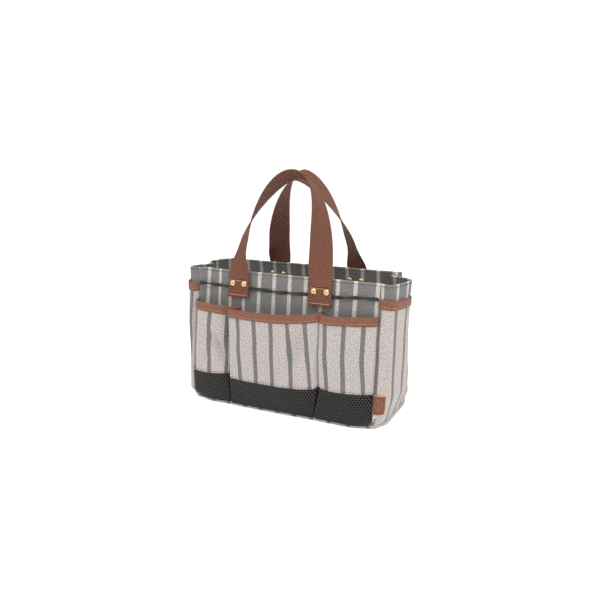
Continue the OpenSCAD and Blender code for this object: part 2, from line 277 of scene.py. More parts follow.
def sheet_mesh(name, points, across=None, up=None, closed=False):
    """A skin over a grid of points with columns running across and rows running up. Its UV map
    holds the distance across and up the cloth in metres, so threads and stripes follow it."""
    rows, cols = points.shape[:2]
    across = run_length(points, 1) if across is None else across
    up = run_length(points, 0) if up is None else up
    index = np.arange(rows * cols).reshape(rows, cols)
    if closed:
        index = np.concatenate([index, index[:, :1]], axis=1)
        across = np.r_[across, 2 * across[-1] - across[-2]]
    a, b, c, d = index[:-1, :-1], index[:-1, 1:], index[1:, 1:], index[1:, :-1]
    faces = np.stack([a, b, c, d], axis=2).reshape(-1, 4)
    piece = add_mesh(name, points, faces.tolist())
    grid_u, grid_v = np.meshgrid(across, up)
    corner = np.stack([grid_u, grid_v], axis=2)
    uv = np.stack([corner[:-1, :-1], corner[:-1, 1:], corner[1:, 1:], corner[1:, :-1]], axis=2)
    layer = piece.data.uv_layers.new(name="cloth")
    layer.data.foreach_set("uv", uv.reshape(-1).astype(np.float32))
    return piece


def lay_flat(piece):
    """Maps a level piece straight from above, so that its stripes run along Y."""
    mesh = piece.data
    places = np.empty(3 * len(mesh.vertices), np.float32)
    mesh.vertices.foreach_get("co", places)
    index = np.empty(len(mesh.loops), np.int32)
    mesh.loops.foreach_get("vertex_index", index)
    mesh.uv_layers["cloth"].data.foreach_set("uv", places.reshape(-1, 3)[index, :2].reshape(-1))


def thicken(piece, thickness, offset=-1.0):
    """Gives a skin its thickness, inward from the face that was made."""
    solid = piece.modifiers.new("thickness", "SOLIDIFY")
    solid.thickness = thickness
    solid.offset = offset
    solid.use_quality_normals = True
    solid.use_even_offset = False


# ---- finishes of the cloth: threads, mottle and stripes --------------------------------------

def node(tree, kind, **values):
    made = tree.nodes.new(kind)
    for key, value in values.items():
        setattr(made, key, value)
    return made


def sum_of(tree, operation, a, b=None, c=None):
    """A Math node; each of a, b and c is a number or another node's output."""
    made = node(tree, "ShaderNodeMath", operation=operation)
    for socket, value in zip(made.inputs, (a, b, c)):
        if value is None:
            continue
        if isinstance(value, (int, float)):
            socket.default_value = value
        else:
            tree.links.new(value, socket)
    return made.outputs[0]


def own_coordinates(tree):
    return node(tree, "ShaderNodeTexCoord").outputs["Object"]


def noise_in(tree, scale, detail=2.0):
    """Noise over a piece's own coordinates."""
    noise = node(tree, "ShaderNodeTexNoise")
    noise.inputs["Scale"].default_value = scale
    noise.inputs["Detail"].default_value = detail
    tree.links.new(own_coordinates(tree), noise.inputs["Vector"])
    return noise.outputs["Fac"]


def blended(tree, factor, first, second):
    """The colour between two, each a value or an output."""
    made = node(tree, "ShaderNodeMix", data_type="RGBA")
    tree.links.new(factor, made.inputs["Factor"])
    for socket, colour in (("A", first), ("B", second)):
        if isinstance(colour, tuple):
            made.inputs[socket].default_value = (*colour, 1.0)
        else:
            tree.links.new(colour, made.inputs[socket])
    return made.outputs["Result"]


def add_bump(tree, shader, height, strength, distance):
    bump = node(tree, "ShaderNodeBump")
    bump.inputs["Strength"].default_value = strength
    bump.inputs["Distance"].default_value = distance
    tree.links.new(height, bump.inputs["Height"])
    tree.links.new(bump.outputs["Normal"], shader.inputs["Normal"])


def mottled(name, first, second, scale, roughness, detail=2.0):
    """A plain finish that wavers between two colours."""
    made, tree, shader = new_material(name, roughness)
    colour = blended(tree, noise_in(tree, scale, detail), first, second)
    tree.links.new(colour, shader.inputs["Base Color"])
    return made


def new_group(name, inputs, outputs):
    group = bpy.data.node_groups.new(name, "ShaderNodeTree")
    for label, kind, value in inputs:
        socket = group.interface.new_socket(label, in_out="INPUT", socket_type=kind)
        if value is not None:
            socket.default_value = value
    for label, kind in outputs:
        group.interface.new_socket(label, in_out="OUTPUT", socket_type=kind)
    return group, group.nodes.new("NodeGroupInput"), group.nodes.new("NodeGroupOutput")


def make_weave():
    """Plain weave: threads of a given pitch cross over and under, and slubs vary their shade.
    Height is sin(pi u/p) sin(pi v/p); Shade is about 1 with grain finer and coarser than a thread."""
    group, given, made = new_group(
        "plain_weave",
        [("Cloth", "NodeSocketVector", None), ("Pitch", "NodeSocketFloat", 0.0008),
         ("Contrast", "NodeSocketFloat", 0.3)],
        [("Height", "NodeSocketFloat"), ("Shade", "NodeSocketFloat")])
    parts = node(group, "ShaderNodeSeparateXYZ")
    group.links.new(given.outputs["Cloth"], parts.inputs[0])
    threads = [sum_of(group, "DIVIDE", parts.outputs[k], given.outputs["Pitch"]) for k in (0, 1)]
    turns = [sum_of(group, "MULTIPLY", thread, math.pi) for thread in threads]
    cross = sum_of(group, "MULTIPLY", sum_of(group, "SINE", turns[0]), sum_of(group, "SINE", turns[1]))
    grain = None
    for stretch, scale in (((1.0, 0.3, 1.0), 1100.0), ((0.3, 1.0, 1.0), 1100.0), ((1.0, 1.0, 1.0), 520.0)):
        spread = node(group, "ShaderNodeVectorMath", operation="MULTIPLY")
        spread.inputs[1].default_value = stretch
        group.links.new(given.outputs["Cloth"], spread.inputs[0])
        noise = node(group, "ShaderNodeTexNoise")
        noise.inputs["Scale"].default_value = scale
        noise.inputs["Detail"].default_value = 2.0
        group.links.new(spread.outputs[0], noise.inputs["Vector"])
        grain = noise.outputs["Fac"] if grain is None else sum_of(group, "ADD", grain, noise.outputs["Fac"])
    swing = sum_of(group, "SUBTRACT", sum_of(group, "MULTIPLY", grain, 1.0 / 1.5), 1.0)
    shade = sum_of(group, "ADD", sum_of(group, "MULTIPLY", swing, given.outputs["Contrast"]), 1.0)
    shade = sum_of(group, "ADD", shade, sum_of(group, "MULTIPLY", cross, 0.05))
    height = sum_of(group, "ADD", cross, sum_of(group, "MULTIPLY", grain, 0.8))
    group.links.new(height, made.inputs["Height"])
    group.links.new(shade, made.inputs["Shade"])
    return group


def make_stripes():
    """Upright stripes on whole multiples of a pitch across the cloth, with edges frayed by noise.
    Mask is 1 in a stripe and 0 between."""
    group, given, made = new_group(
        "stripes",
        [("Cloth", "NodeSocketVector", None), ("Pitch", "NodeSocketFloat", 0.025),
         ("Width", "NodeSocketFloat", 0.005)],
        [("Mask", "NodeSocketFloat")])
    parts = node(group, "ShaderNodeSeparateXYZ")
    group.links.new(given.outputs["Cloth"], parts.inputs[0])
    noise = node(group, "ShaderNodeTexNoise")
    noise.inputs["Scale"].default_value = 700.0
    group.links.new(given.outputs["Cloth"], noise.inputs["Vector"])
    fray = sum_of(group, "MULTIPLY", sum_of(group, "SUBTRACT", noise.outputs["Fac"], 0.5), 0.0022)
    place = sum_of(group, "ADD", parts.outputs[0], fray)
    half = sum_of(group, "MULTIPLY", given.outputs["Pitch"], 0.5)
    away = sum_of(group, "SUBTRACT", half, sum_of(group, "PINGPONG", sum_of(group, "ADD", place, half), half))
    edge = sum_of(group, "SUBTRACT", sum_of(group, "MULTIPLY", given.outputs["Width"], 0.5), away)
    mask = node(group, "ShaderNodeMapRange", interpolation_type="SMOOTHSTEP")
    mask.inputs["From Min"].default_value = -0.0003
    mask.inputs["From Max"].default_value = 0.0003
    group.links.new(edge, mask.inputs["Value"])
    group.links.new(mask.outputs["Result"], made.inputs["Mask"])
    return group


weave_group = make_weave()
stripe_group = make_stripes()


def cloth_coordinates(tree):
    coords = node(tree, "ShaderNodeUVMap", uv_map="cloth")
    return coords.outputs["UV"]


def place_group(tree, group, cloth, **values):
    made = node(tree, "ShaderNodeGroup", node_tree=group)
    tree.links.new(cloth, made.inputs["Cloth"])
    for key, value in values.items():
        made.inputs[key].default_value = value
    return made


def shaded(tree, colour, shade):
    """A colour, which is a value or an output, multiplied by a shade."""
    made = node(tree, "ShaderNodeMix", data_type="RGBA", blend_type="MULTIPLY")
    made.inputs["Factor"].default_value = 1.0
    if isinstance(colour, tuple):
        made.inputs["A"].default_value = (*colour, 1.0)
    else:
        tree.links.new(colour, made.inputs["A"])
    grey = node(tree, "ShaderNodeCombineColor")
    for socket in grey.inputs[:3]:
        tree.links.new(shade, socket)
    tree.links.new(grey.outputs[0], made.inputs["B"])
    return made.outputs["Result"]


def woven(name, group, colour, roughness, bump, **settings):
    """A cloth of one colour with a group's Shade over it, and its Height felt where bump gives a
    strength and a distance."""
    made, tree, shader = new_material(name, roughness)
    weave = place_group(tree, group, cloth_coordinates(tree), **settings)
    tree.links.new(shaded(tree, colour, weave.outputs["Shade"]), shader.inputs["Base Color"])
    if bump:
        add_bump(tree, shader, weave.outputs["Height"], *bump)
    return made, shader


def canvas(name, ground, stripe, pitch, width, contrast, rim_highlight_from=None):
    """Heavy striped canvas: ground and stripe colours, uneven threads and a matt nap. Above the height
    rim_highlight_from, along the fold of the rim, it is painted paler: a painted highlight where light
    catches the fold."""
    made, tree, shader = new_material(name, roughness=0.92)
    cloth = cloth_coordinates(tree)
    weave = place_group(tree, weave_group, cloth, Contrast=contrast)
    stripes = place_group(tree, stripe_group, cloth, Pitch=pitch, Width=width)
    colour = blended(tree, stripes.outputs["Mask"], ground, stripe)
    shade = weave.outputs["Shade"]
    if rim_highlight_from is not None:
        place = node(tree, "ShaderNodeSeparateXYZ")
        tree.links.new(own_coordinates(tree), place.inputs[0])
        # painted highlight: the canvas is brightened up to 1.5 times along the top of the rim's fold
        rim_highlight = node(tree, "ShaderNodeMapRange", interpolation_type="SMOOTHSTEP")
        rim_highlight.inputs["From Min"].default_value = rim_highlight_from
        rim_highlight.inputs["From Max"].default_value = rim_highlight_from + 0.0016
        rim_highlight.inputs["To Min"].default_value = 1.0
        rim_highlight.inputs["To Max"].default_value = 1.5
        tree.links.new(place.outputs["Z"], rim_highlight.inputs["Value"])
        shade = sum_of(tree, "MULTIPLY", shade, rim_highlight.outputs["Result"])
    tree.links.new(shaded(tree, colour, shade), shader.inputs["Base Color"])
    add_bump(tree, shader, weave.outputs["Height"], 0.5, 0.0003)
    shader.inputs["Specular IOR Level"].default_value = 0.2
    shader.inputs["Sheen Weight"].default_value = 0.15
    return made


slate_ground = (0.150, 0.145, 0.140)
slate_stripe = (0.43, 0.395, 0.36)
pale_ground = (0.385, 0.343, 0.323)
pale_stripe = (0.132, 0.131, 0.129)
pocket_pitch = 0.0273      # from stripe to stripe on the pale canvas
# the slate canvas carries a painted highlight along the top of the rim's fold
slate_canvas = canvas("slate_canvas", slate_ground, slate_stripe, stripe_pitch, width=0.0056,
                      contrast=1.5, rim_highlight_from=rim_height - 0.0015)
pale_canvas = canvas("pale_canvas", pale_ground, pale_stripe, pocket_pitch, width=0.0064, contrast=1.75)


def finish_piece(piece, material, slot, body, *nodes):
    """Gives a piece its material and its place among the bodies."""
    piece.data.materials.append(material)
    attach(piece, body)
    if nodes:
        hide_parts(*nodes)


wall_z = np.r_[np.linspace(0.0015, 0.12, 20), np.linspace(0.124, rim_height - 0.002, 26)]


def turned_edge(plan_of, t, r):
    """A wall with its top turned over: straight up the outside, half round over the rim with
    radius r and a short way down the inside."""
    arc = np.linspace(0.0, np.pi, 9)[1:]
    hem = np.array([0.0035, 0.0055, turned_down - 0.0002, turned_down])
    off = np.r_[0.0 * wall_z, -r * (1 - np.cos(arc)), np.full(len(hem), -2 * r)]
    z = np.r_[wall_z, rim_height - r + r * np.sin(arc), rim_height - hem]
    plan = plan_of(t, np.minimum(z, rim_height))
    return raised(plan, z, off)


# where the front wall's stripes stand, left to right; on the others, how far the first stripe is
# from the seam along the cloth
front_stripes = np.array([-142.9, -124.6, -105.8, -87.9, -65.0, -40.1, -15.8, 9.3, 34.2, 58.2, 82.1,
                          108.2, 133.8]) * MM
first_stripe = {"right": 0.0042, "rear": 0.0105, "left": 0.0070}
panels = {"front": front_wall, "right": right_wall, "rear": rear_wall, "left": left_wall}
panel_nodes = {"front": "front_panel", "right": "right_end_panel", "rear": "rear_panel",
               "left": "left_end_panel"}
cloth_run = {}
panel_cols = {"front": 110, "right": 90, "rear": 90, "left": 90}

for side, plan_of in panels.items():
    t = np.linspace(0.0, 1.0, panel_cols[side])
    points = turned_edge(plan_of, t, turned_r[side])
    if side == "front":
        across = np.interp(points[0, :, 0], front_stripes, stripe_pitch * np.arange(len(front_stripes)))
        across += np.maximum(points[0, :, 0] - front_stripes[-1], 0.0)
    else:
        across = run_length(points[-20:-12], 1) - first_stripe[side]
    cloth_run[side] = (t, across)
    wall = sheet_mesh(side + "_wall", points, across=across)
    thicken(wall, canvas_t)
    finish_piece(wall, slate_canvas, "outer_cloth", "bag", panel_nodes[side])

# ---------------------------------------------------------------------------------------------
# Base: a pale canvas bottom whose edge is rolled into a low welt all round the foot of the walls.
# It is the piece that the bag stands on.

welt_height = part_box("base_panel")[1][2]
foot_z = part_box("base_board")[0][2]


def ring_around(z, off):
    """The outer face of all four walls at one height as one closed ring, moved out by off."""
    parts = [raised(plan(np.linspace(0.0, 1.0, n), np.array([z])), np.array([z]), off)[0]
             for plan, n in ((front_wall, 60), (right_wall, 50), (rear_wall, 60), (left_wall, 50))]
    return np.concatenate([part[:-1] for part in parts])


def disc_in(ring, z, shares):
    """Rings that shrink from a given ring towards the middle, at one height."""
    middle = ring.mean(axis=0)
    rows = [middle + (ring - middle) * share for share in shares]
    grid = np.stack(rows)
    grid[..., 2] = z
    return grid


foot_ring = ring_around(0.0, 0.0)
roll = np.linspace(-0.5 * np.pi, 0.62 * np.pi, 12)
welt_r = 0.5 * welt_height
rows = [disc_in(foot_ring, 0.0, (0.02, 0.3, 0.6, 0.9, 0.985))]
for turn in roll:
    rows.append(ring_around(welt_r + welt_r * math.sin(turn), 0.0011 + 0.0008 * math.cos(turn))[None])
last = ring_around(welt_height - 0.0008, 0.0003)
rows.append(last[None])
points = np.concatenate(rows)
base = sheet_mesh("base_bottom", points, closed=True)
lay_flat(base)
thicken(base, 0.0008)
finish_piece(base, pale_canvas, "base_cloth", "bag", "base_panel")

# ---------------------------------------------------------------------------------------------
# Stiffening: foam sheets between the canvas and the lining of the two long walls, and a hard board
# on the bottom. None of them shows in a finished bag.

foam = mottled("foam", (0.62, 0.60, 0.56), (0.74, 0.72, 0.68), 900.0, roughness=0.85)
board = mottled("board", (0.30, 0.21, 0.12), (0.46, 0.35, 0.22), 300.0, roughness=0.8)
foam_inset = 0.00115
board_inset = 0.0048

for side, plan_of in (("front", front_wall), ("rear", rear_wall)):
    z = np.linspace(foot_z + 0.003, rim_height - 0.006, 30)
    points = raised(plan_of(np.linspace(0.008, 0.992, 80), z), z, -foam_inset)
    stiffener = sheet_mesh(side + "_foam", points)
    thicken(stiffener, 0.0015)
    finish_piece(stiffener, foam, "foam_board", "bag", side + "_stiffener")

board_low, board_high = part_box("base_board")[0][2] + 0.0001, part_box("base_board")[1][2] - 0.0001
shares = np.array([0.01, 0.5, 0.9, 0.99, 1.0])
points = np.concatenate([disc_in(ring_around(board_low, -board_inset), board_low, shares),
                         disc_in(ring_around(board_high, -board_inset), board_high, shares[::-1])])
hard_board = sheet_mesh("bottom_board", points, closed=True)
finish_piece(hard_board, board, "base_board", "bag", "base_board")

# ---------------------------------------------------------------------------------------------
# Lining: the same striped canvas inside, one piece to a wall and one on the bottom, tucked under
# the turned top edge.

lining_t = 0.0008
lining_depth = {"front": 0.0036, "rear": 0.0036, "left": 0.0021, "right": 0.0021}
lining_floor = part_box("base_lining")[1][2]

for side, plan_of in panels.items():
    z = np.r_[np.linspace(lining_floor + 0.0002, 0.14, 24), np.linspace(0.144, rim_height - 0.004, 22)]
    t = np.linspace(0.012, 0.988, 90)[::-1]
    points = raised(plan_of(t[::-1], z), z, -lining_depth[side])[:, ::-1]
    skin = sheet_mesh(side + "_lining_cloth", points, across=np.interp(t, *cloth_run[side]))
    thicken(skin, lining_t)
    finish_piece(skin, slate_canvas, "lining_cloth", "bag", panel_nodes[side].replace("panel", "lining"))

inner = ring_around(0.0, -0.0042)
points = disc_in(inner, lining_floor, (1.0, 0.9, 0.6, 0.3, 0.02))
floor_skin = sheet_mesh("bottom_lining_cloth", points, closed=True)
lay_flat(floor_skin)
finish_piece(floor_skin, slate_canvas, "lining_cloth", "bag", "base_lining")
floor_skin.data.flip_normals()
thicken(floor_skin, 0.0007)

# ---------------------------------------------------------------------------------------------
# Stitches: short waxed threads laid end to end with small gaps, one row to a seam.

thread_r = 0.00032


def thread_finish(name, colour):
    """Twisted thread: its colour with fine uneven lightness."""
    made, tree, shader = new_material(name, roughness=0.7)
    shade = sum_of(tree, "ADD", sum_of(tree, "MULTIPLY", noise_in(tree, 2500.0), 0.8), 0.6)
    tree.links.new(shaded(tree, colour, shade), shader.inputs["Base Color"])
    return made


tan_thread = thread_finish("tan_thread", (0.52, 0.235, 0.105))
dark_thread = thread_finish("dark_thread", (0.035, 0.033, 0.032))


def stitch_rows(name, lines, material, slot, pitch=0.0032, length=0.0023, width=thread_r, body="bag"):
    """Stitches along lines of points: each is a spindle of 6 sides and 5 rings whose radius is
    width times the root of 1 - s^2, s from -1 to 1 along it, lying along the line."""
    sides, rings = 6, 5
    centres, tangents = [], []
    for line in lines:
        line = np.asarray(line, float)
        step = np.linalg.norm(np.diff(line, axis=0), axis=1)
        run = np.r_[0.0, np.cumsum(step)]
        count = max(1, int(run[-1] / pitch))
        mid = (np.arange(count) + 0.5) * run[-1] / count
        at = lambda d: np.stack([np.interp(d, run, line[:, k]) for k in range(3)], axis=1)
        way = at(mid + 0.4 * length) - at(mid - 0.4 * length)
        centres.append(at(mid))
        tangents.append(way / np.maximum(np.linalg.norm(way, axis=1, keepdims=True), 1e-9))
    centres, tangents = np.concatenate(centres), np.concatenate(tangents)
    helper = np.where(np.abs(tangents[:, 2:3]) < 0.9, [[0.0, 0.0, 1.0]], [[1.0, 0.0, 0.0]])
    side = np.cross(tangents, helper)
    side /= np.linalg.norm(side, axis=1, keepdims=True)
    other = np.cross(tangents, side)
    s = np.array([-1.0, -0.75, 0.0, 0.75, 1.0])
    a = np.arange(sides) * np.pi / 3
    ring = np.sqrt(np.maximum(1 - s * s, 0.02))
    points = (centres[:, None, None] + tangents[:, None, None] * (0.5 * length * s)[None, :, None, None]
              + width * ring[None, :, None, None] * (side[:, None, None] * np.cos(a)[None, None, :, None]
                                                    + other[:, None, None] * np.sin(a)[None, None, :, None]))
    base_index = np.arange(len(centres))[:, None, None] * sides * rings
    r, c = np.meshgrid(np.arange(rings - 1), np.arange(sides), indexing="ij")
    low, beside = r * sides + c, r * sides + (c + 1) % sides
    quad = np.stack([low, low + sides, beside + sides, beside], axis=2)
    quads = (quad.reshape(-1, 4)[None] + base_index).reshape(-1, 4)
    ends = np.stack([np.arange(sides), sides * rings - 1 - np.arange(sides)])
    caps = (ends[None] + base_index).reshape(-1, sides)
    finish_piece(add_mesh(name, points, quads.tolist() + caps.tolist()), material, slot, body)


rim_lines = []
for side, plan_of in panels.items():
    z = np.array([rim_height - 0.0031, rim_height - 0.0030])
    for off in (0.00018, -2 * turned_r[side] - 0.00018):
        rim_lines.append(raised(plan_of(np.linspace(0.012, 0.988, 160), z), z, off)[0])
stitch_rows("rim_stitches", rim_lines, dark_thread, "outer_cloth", length=0.0019, width=0.00055)

# ---------------------------------------------------------------------------------------------
# End pockets: one pale canvas pocket over the whole of each end, sewn into the corner seams and
# the welt, its mouth a little below the rim and bound with brown tape.

end_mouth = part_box("right_end_binding")[1][2]
right_pocket_levels = [
    (0, base_end),
    (50, [(143, -66), (151.5, -67), (160, -63), (165, -47), (167.5, -27), (168, -8),
          (167, 9), (164, 25), (160, 40), (155.5, 52), (149.5, 62), (143, 66)]),
    (110, [(143, -59.6), (151, -61.5), (159.5, -60), (165, -45), (168.5, -25), (169.5, -6),
           (166.5, 9), (161.5, 21), (154.5, 33), (149.5, 43), (145.8, 52), (143, 59.6)]),
    (177, [(143, -51.5), (152, -55.5), (162, -54), (168.5, -38), (172, -21), (172, -8),
           (168, 4), (160, 14), (152, 25), (147, 35), (144.5, 45), (143, 51.5)]),
]
left_pocket_levels = [
    (0, [(-x, -y) for x, y in base_end]),
    (110, [(-143, 59.6), (-150, 50), (-157, 38), (-161.5, 24), (-164, 10), (-165, -5),
           (-164.8, -20), (-164.2, -35), (-162.6, -48), (-158.5, -58), (-151.5, -61.5), (-143, -59.6)]),
    (177, [(-143, 51.5), (-149, 42), (-156, 28), (-161.5, 14), (-164, 2), (-165.2, -10),
           (-165.2, -24), (-164.8, -38), (-162.6, -49), (-158, -55), (-151, -56), (-143, -51.5)]),
]
binding_t = 0.0008
binding_reach = 0.0122
binding_stitch = (0.0036, 0.0021, 0.00042)   # pitch, length and thread radius
stitch_up = 0.0030        # of a binding's stitches above its lower edge
stitch_off = 0.00035      # and out from its face
end_off = 0.0004          # an end pocket's face, out from its plan curves
pocket_off = 0.0007       # the canvas of a pocket on a long wall, out from its mesh


def end_pocket_skin(levels, drape_seed):
    """The outer face of an end pocket: its plan curves, with slack that hangs in slow slanting
    waves, off = 0.9 mm sin(...) sin(...), nothing at the seams."""
    def skin(t, z):
        plan = between_levels(levels, t, z)
        edge = (np.sin(np.pi * t) ** 0.6)[None, :]
        low = smooth(z / 0.05)[:, None]
        tt, zz = np.meshgrid(t, z)
        slack = 0.0009 * np.sin(9.0 * tt + 30.0 * zz + drape_seed) * np.sin(38.0 * zz - 5.0 * tt + drape_seed)
        return plan + outward(plan) * (edge * low * slack)[..., None]
    return skin


def bound_mouth(drop):
    """The tape over a mouth: up the outside, half round over the edge and down the inside. Returns
    for each row its height below the edge and its distance off the cloth's outer face."""
    arc = np.linspace(0.0, np.pi, 7)
    r = 0.00145
    height = np.r_[np.linspace(-drop, -r, 6)[:-1], -r + r * np.sin(arc), np.linspace(-r, -drop, 5)[1:]]
    off = np.r_[np.full(5, binding_t + 0.0002), binding_t + 0.0002 - r * (1 - np.cos(arc)),
                np.full(4, binding_t + 0.0002 - 2 * r)]
    return height, off


# brown woven tape: fine ribs across it and uneven dye
brown_tape, tape_shader = woven("brown_tape", weave_group, (0.168, 0.061, 0.033), 0.8, (0.6, 0.0003),
                                Pitch=0.0009, Contrast=2.2)
tape_shader.inputs["Sheen Weight"].default_value = 0.1

end_t = np.linspace(0.0, 1.0, 90)
# the mouths run up a little, the right one to its front corner, the left one to its middle
mouth_rise = {"right": 0.0030 * (1 - smooth(end_t / 0.45)),
              "left": 0.0030 * (1 - smooth((end_t - 0.75) / 0.25))}


def hung(points, rise):
    """An end pocket's cloth drawn up by a share of the rise of its mouth, the cube of its height."""
    lift = rise[None] * (points[..., 2] / end_mouth) ** 3
    return points + lift[..., None] * [0.0, 0.0, 1.0]


for side, levels, seed in (("right", right_pocket_levels, 0.4), ("left", left_pocket_levels, 2.1)):
    skin = end_pocket_skin(levels, seed)
    z = np.linspace(welt_height - 0.001, end_mouth - 0.001, 60)
    points = hung(raised(skin(end_t, z), z, end_off), mouth_rise[side])
    run = run_length(points[-30:-20], 1)
    first = 0.0022 if side == "right" else run[-1] - 0.012
    pocket = sheet_mesh(side + "_end_pocket_cloth", points, across=(run - first) * 0.94)
    thicken(pocket, 0.0009)
    finish_piece(pocket, pale_canvas, "pocket_cloth", "bag", side + "_end_pocket")
    height, off = bound_mouth(binding_reach)
    z = end_mouth + height
    points = hung(raised(skin(end_t, z), z, off + end_off), mouth_rise[side])
    tape = sheet_mesh(side + "_end_pocket_binding", points)
    thicken(tape, binding_t - 0.0001)
    finish_piece(tape, brown_tape, "binding", "bag", side + "_end_binding")
    z = end_mouth - binding_reach + stitch_up + np.array([0.0, 0.0001])
    line = hung(raised(skin(end_t[1:-1], z), z, end_off + binding_t + stitch_off), mouth_rise[side][1:-1])[0]
    stitch_rows(side + "_end_binding_stitches", [line], tan_thread, "binding", *binding_stitch)

# ---------------------------------------------------------------------------------------------
# Pockets on the long walls: three in a row, pleated at their sides so that they stand open. Each is
# pale canvas above a band of black warp-knit mesh, with brown tape over the mouth.

mesh_net_t = 0.0008
# plan of each pocket as (x, distance out from the wall) at heights of 6, 49, 100 and 152 mm
pocket_plans = {
    "left": [
        (6, [(-143, 0), (-142, 2), (-138, 3.4), (-112, 4.4), (-86, 3.6), (-80, 2.2), (-78.6, 0)]),
        (49, [(-143, 0), (-141.5, 8), (-136, 12), (-111, 14), (-89, 10), (-81, 5), (-77, 0)]),
        (100, [(-143, 0), (-141, 8.5), (-135, 14), (-112, 18), (-91, 12.5), (-82, 6), (-78, 0)]),
        (152, [(-143, 0), (-140, 9), (-134, 15), (-110, 19.5), (-88, 14.5), (-79, 8), (-73, 0)])],
    "centre": [
        (6, [(-78, 0), (-77, 2.4), (-72.5, 4.6), (6, 5), (53, 3.8), (57, 2.4), (57.6, 0)]),
        (49, [(-75, 0), (-76, 7), (-73.5, 13), (4.5, 15.5), (57, 10.5), (63.5, 5.4), (65, 0)]),
        (100, [(-73, 0), (-75.5, 9), (-74.5, 18), (2.5, 20.5), (51.5, 14), (61, 8), (62.6, 0)]),
        (152, [(-69, 0), (-73, 11), (-76.2, 21.5), (0, 24), (48, 20), (60, 12.5), (61.6, 0)])],
    "right": [
        (6, [(58, 0), (59, 2.4), (64, 4.2), (104, 5), (137, 3.4), (141.8, 2.2), (143, 0)]),
        (49, [(65.4, 0), (66, 5.5), (70, 9), (101.5, 12), (136, 7), (141.8, 3.6), (143, 0)]),
        (100, [(62.8, 0), (62.6, 6), (65.5, 10.4), (98, 13.5), (132, 8), (141.8, 4.4), (143, 0)]),
        (152, [(61.8, 0), (61, 6.5), (63, 10.6), (98, 13.5), (132, 8), (142, 4.6), (143, 0)])],
}
# height of the mouth and of the mesh's top edge along the wall
mouth_line = ([-143, -110, -86, -80, -40, 0, 42, 61, 62.5, 73, 107, 143],
              [154, 152.8, 150, 148.8, 148.3, 148.9, 152.6, 155.5, 154.5, 152.3, 154.7, 156.5])
mesh_lines = {"left": ([-143, -112, -88, -73], [49.4, 48.4, 49.6, 50.0]),
              "centre": ([-76, -40, 0, 30, 50, 58, 62], [46.2, 45.2, 45.4, 46.4, 49.0, 51.5, 53]),
              "right": ([60, 64, 75, 107, 143], [53.5, 51.8, 50.2, 50.6, 53.2])}
# soft dents and swells: x, z, half width, half height, depth, lean
front_dents = [(-98, 90, 7, 20, -9.0, -0.45), (-108, 112, 8, 20, 2.2, -0.5), (-124, 90, 9, 30, 2.2, 0.1),
               (-118, 66, 8, 14, -1.6, 0.5), (31, 102, 9, 30, -7.0, 0.22), (12, 90, 10, 38, 3.4, 0.08),
               (-50, 80, 16, 36, 1.8, 0.0), (-64, 116, 7, 22, -1.8, 0.25), (-22, 100, 8, 34, -1.5, -0.10),
               (50, 74, 7, 24, -1.6, 0.1), (43, 124, 8, 14, 1.4, 0.1), (70, 86, 7, 30, 2.2, 0.05),
               (88, 104, 8, 28, -1.5, 0.10), (110, 74, 9, 26, -2.0, -0.20), (122, 108, 9, 26, 1.5, -0.12)]
rear_dents = [(-108, 92, 8, 24, -4.0, 0.3), (-128, 74, 10, 28, 1.8, 0.0), (-38, 100, 9, 30, -3.4, -0.2),
              (6, 80, 14, 36, 2.2, 0.05), (36, 112, 9, 26, -2.6, 0.2), (-62, 70, 10, 28, 1.6, 0.1),
              (24, 78, 8, 20, -1.6, -0.2), (96, 100, 9, 28, -2.6, 0.15), (120, 76, 10, 26, 1.8, -0.1)]


def pocket_face(name, t, z_low, z_high, s, off, dents, turned):
    """Points of a pocket between two edge lines. Its plan at a height is the eased blend of its plan
    curves; height is z_low + s (z_high - z_low); out gains each dent, depth exp(-dx^2 - dz^2)."""
    mouth_plan = pocket_plans[name][-1][1]
    plans = [(h * MM, curve(plan, t, mouth_plan) * MM) for h, plan in pocket_plans[name]]
    base_x = plans[-1][1][:, 0]
    low = z_low(base_x)
    z = low[None, :] + s[:, None] * (z_high(base_x) - low)[None, :]
    x = np.broadcast_to(plans[0][1][None, :, 0], z.shape).copy()
    out = np.broadcast_to(plans[0][1][None, :, 1], z.shape).copy()
    for (below, _), (above, plan) in zip(plans, plans[1:]):
        share = (z - below) / (above - below)
        w = mix(np.clip(share, 0.0, 1.0), smooth(share), 0.4)
        x, out = mix(x, plan[None, :, 0], w), mix(out, plan[None, :, 1], w)
    room = smooth(out / 0.010)
    for dx, dz, wide, tall, depth, tilt in dents:
        away_x = (x / MM - dx - tilt * (z / MM - dz)) / wide
        away_z = (z / MM - dz) / tall
        out = out + room * depth * MM * np.exp(-away_x ** 2 - away_z ** 2)
    along_x, along_o = np.gradient(x, axis=1), np.gradient(out, axis=1)
    size = np.maximum(np.hypot(along_x, along_o), 1e-9)
    off = np.broadcast_to(np.asarray(off, float), s.shape)[:, None]
    x = x - off * along_o / size
    out = out + off * along_x / size
    points = tucked(np.stack([x, -(wall_depth(z) + 0.0006 + out), z], axis=2))
    return points * [-1.0, -1.0, 1.0] if turned else points


def mouth_of(x):
    return np.interp(x / MM, *mouth_line) * MM


def foot_of(x):
    return 0.0 * x + welt_height - 0.0015


black_net = mottled("black_net", (0.006, 0.006, 0.006), (0.034, 0.033, 0.032), 1800.0, roughness=0.35,
                    detail=3.0)
# a near-black sheet behind the net, painted shade: it darkens the holes as the shade inside the pocket would
net_shade_sheet, shade_sheet_shader = woven("net_shade_sheet", weave_group, (0.003, 0.003, 0.003), 0.95, None,
                                    Pitch=0.0009, Contrast=1.0)
shade_sheet_shader.inputs["Specular IOR Level"].default_value = 0.1


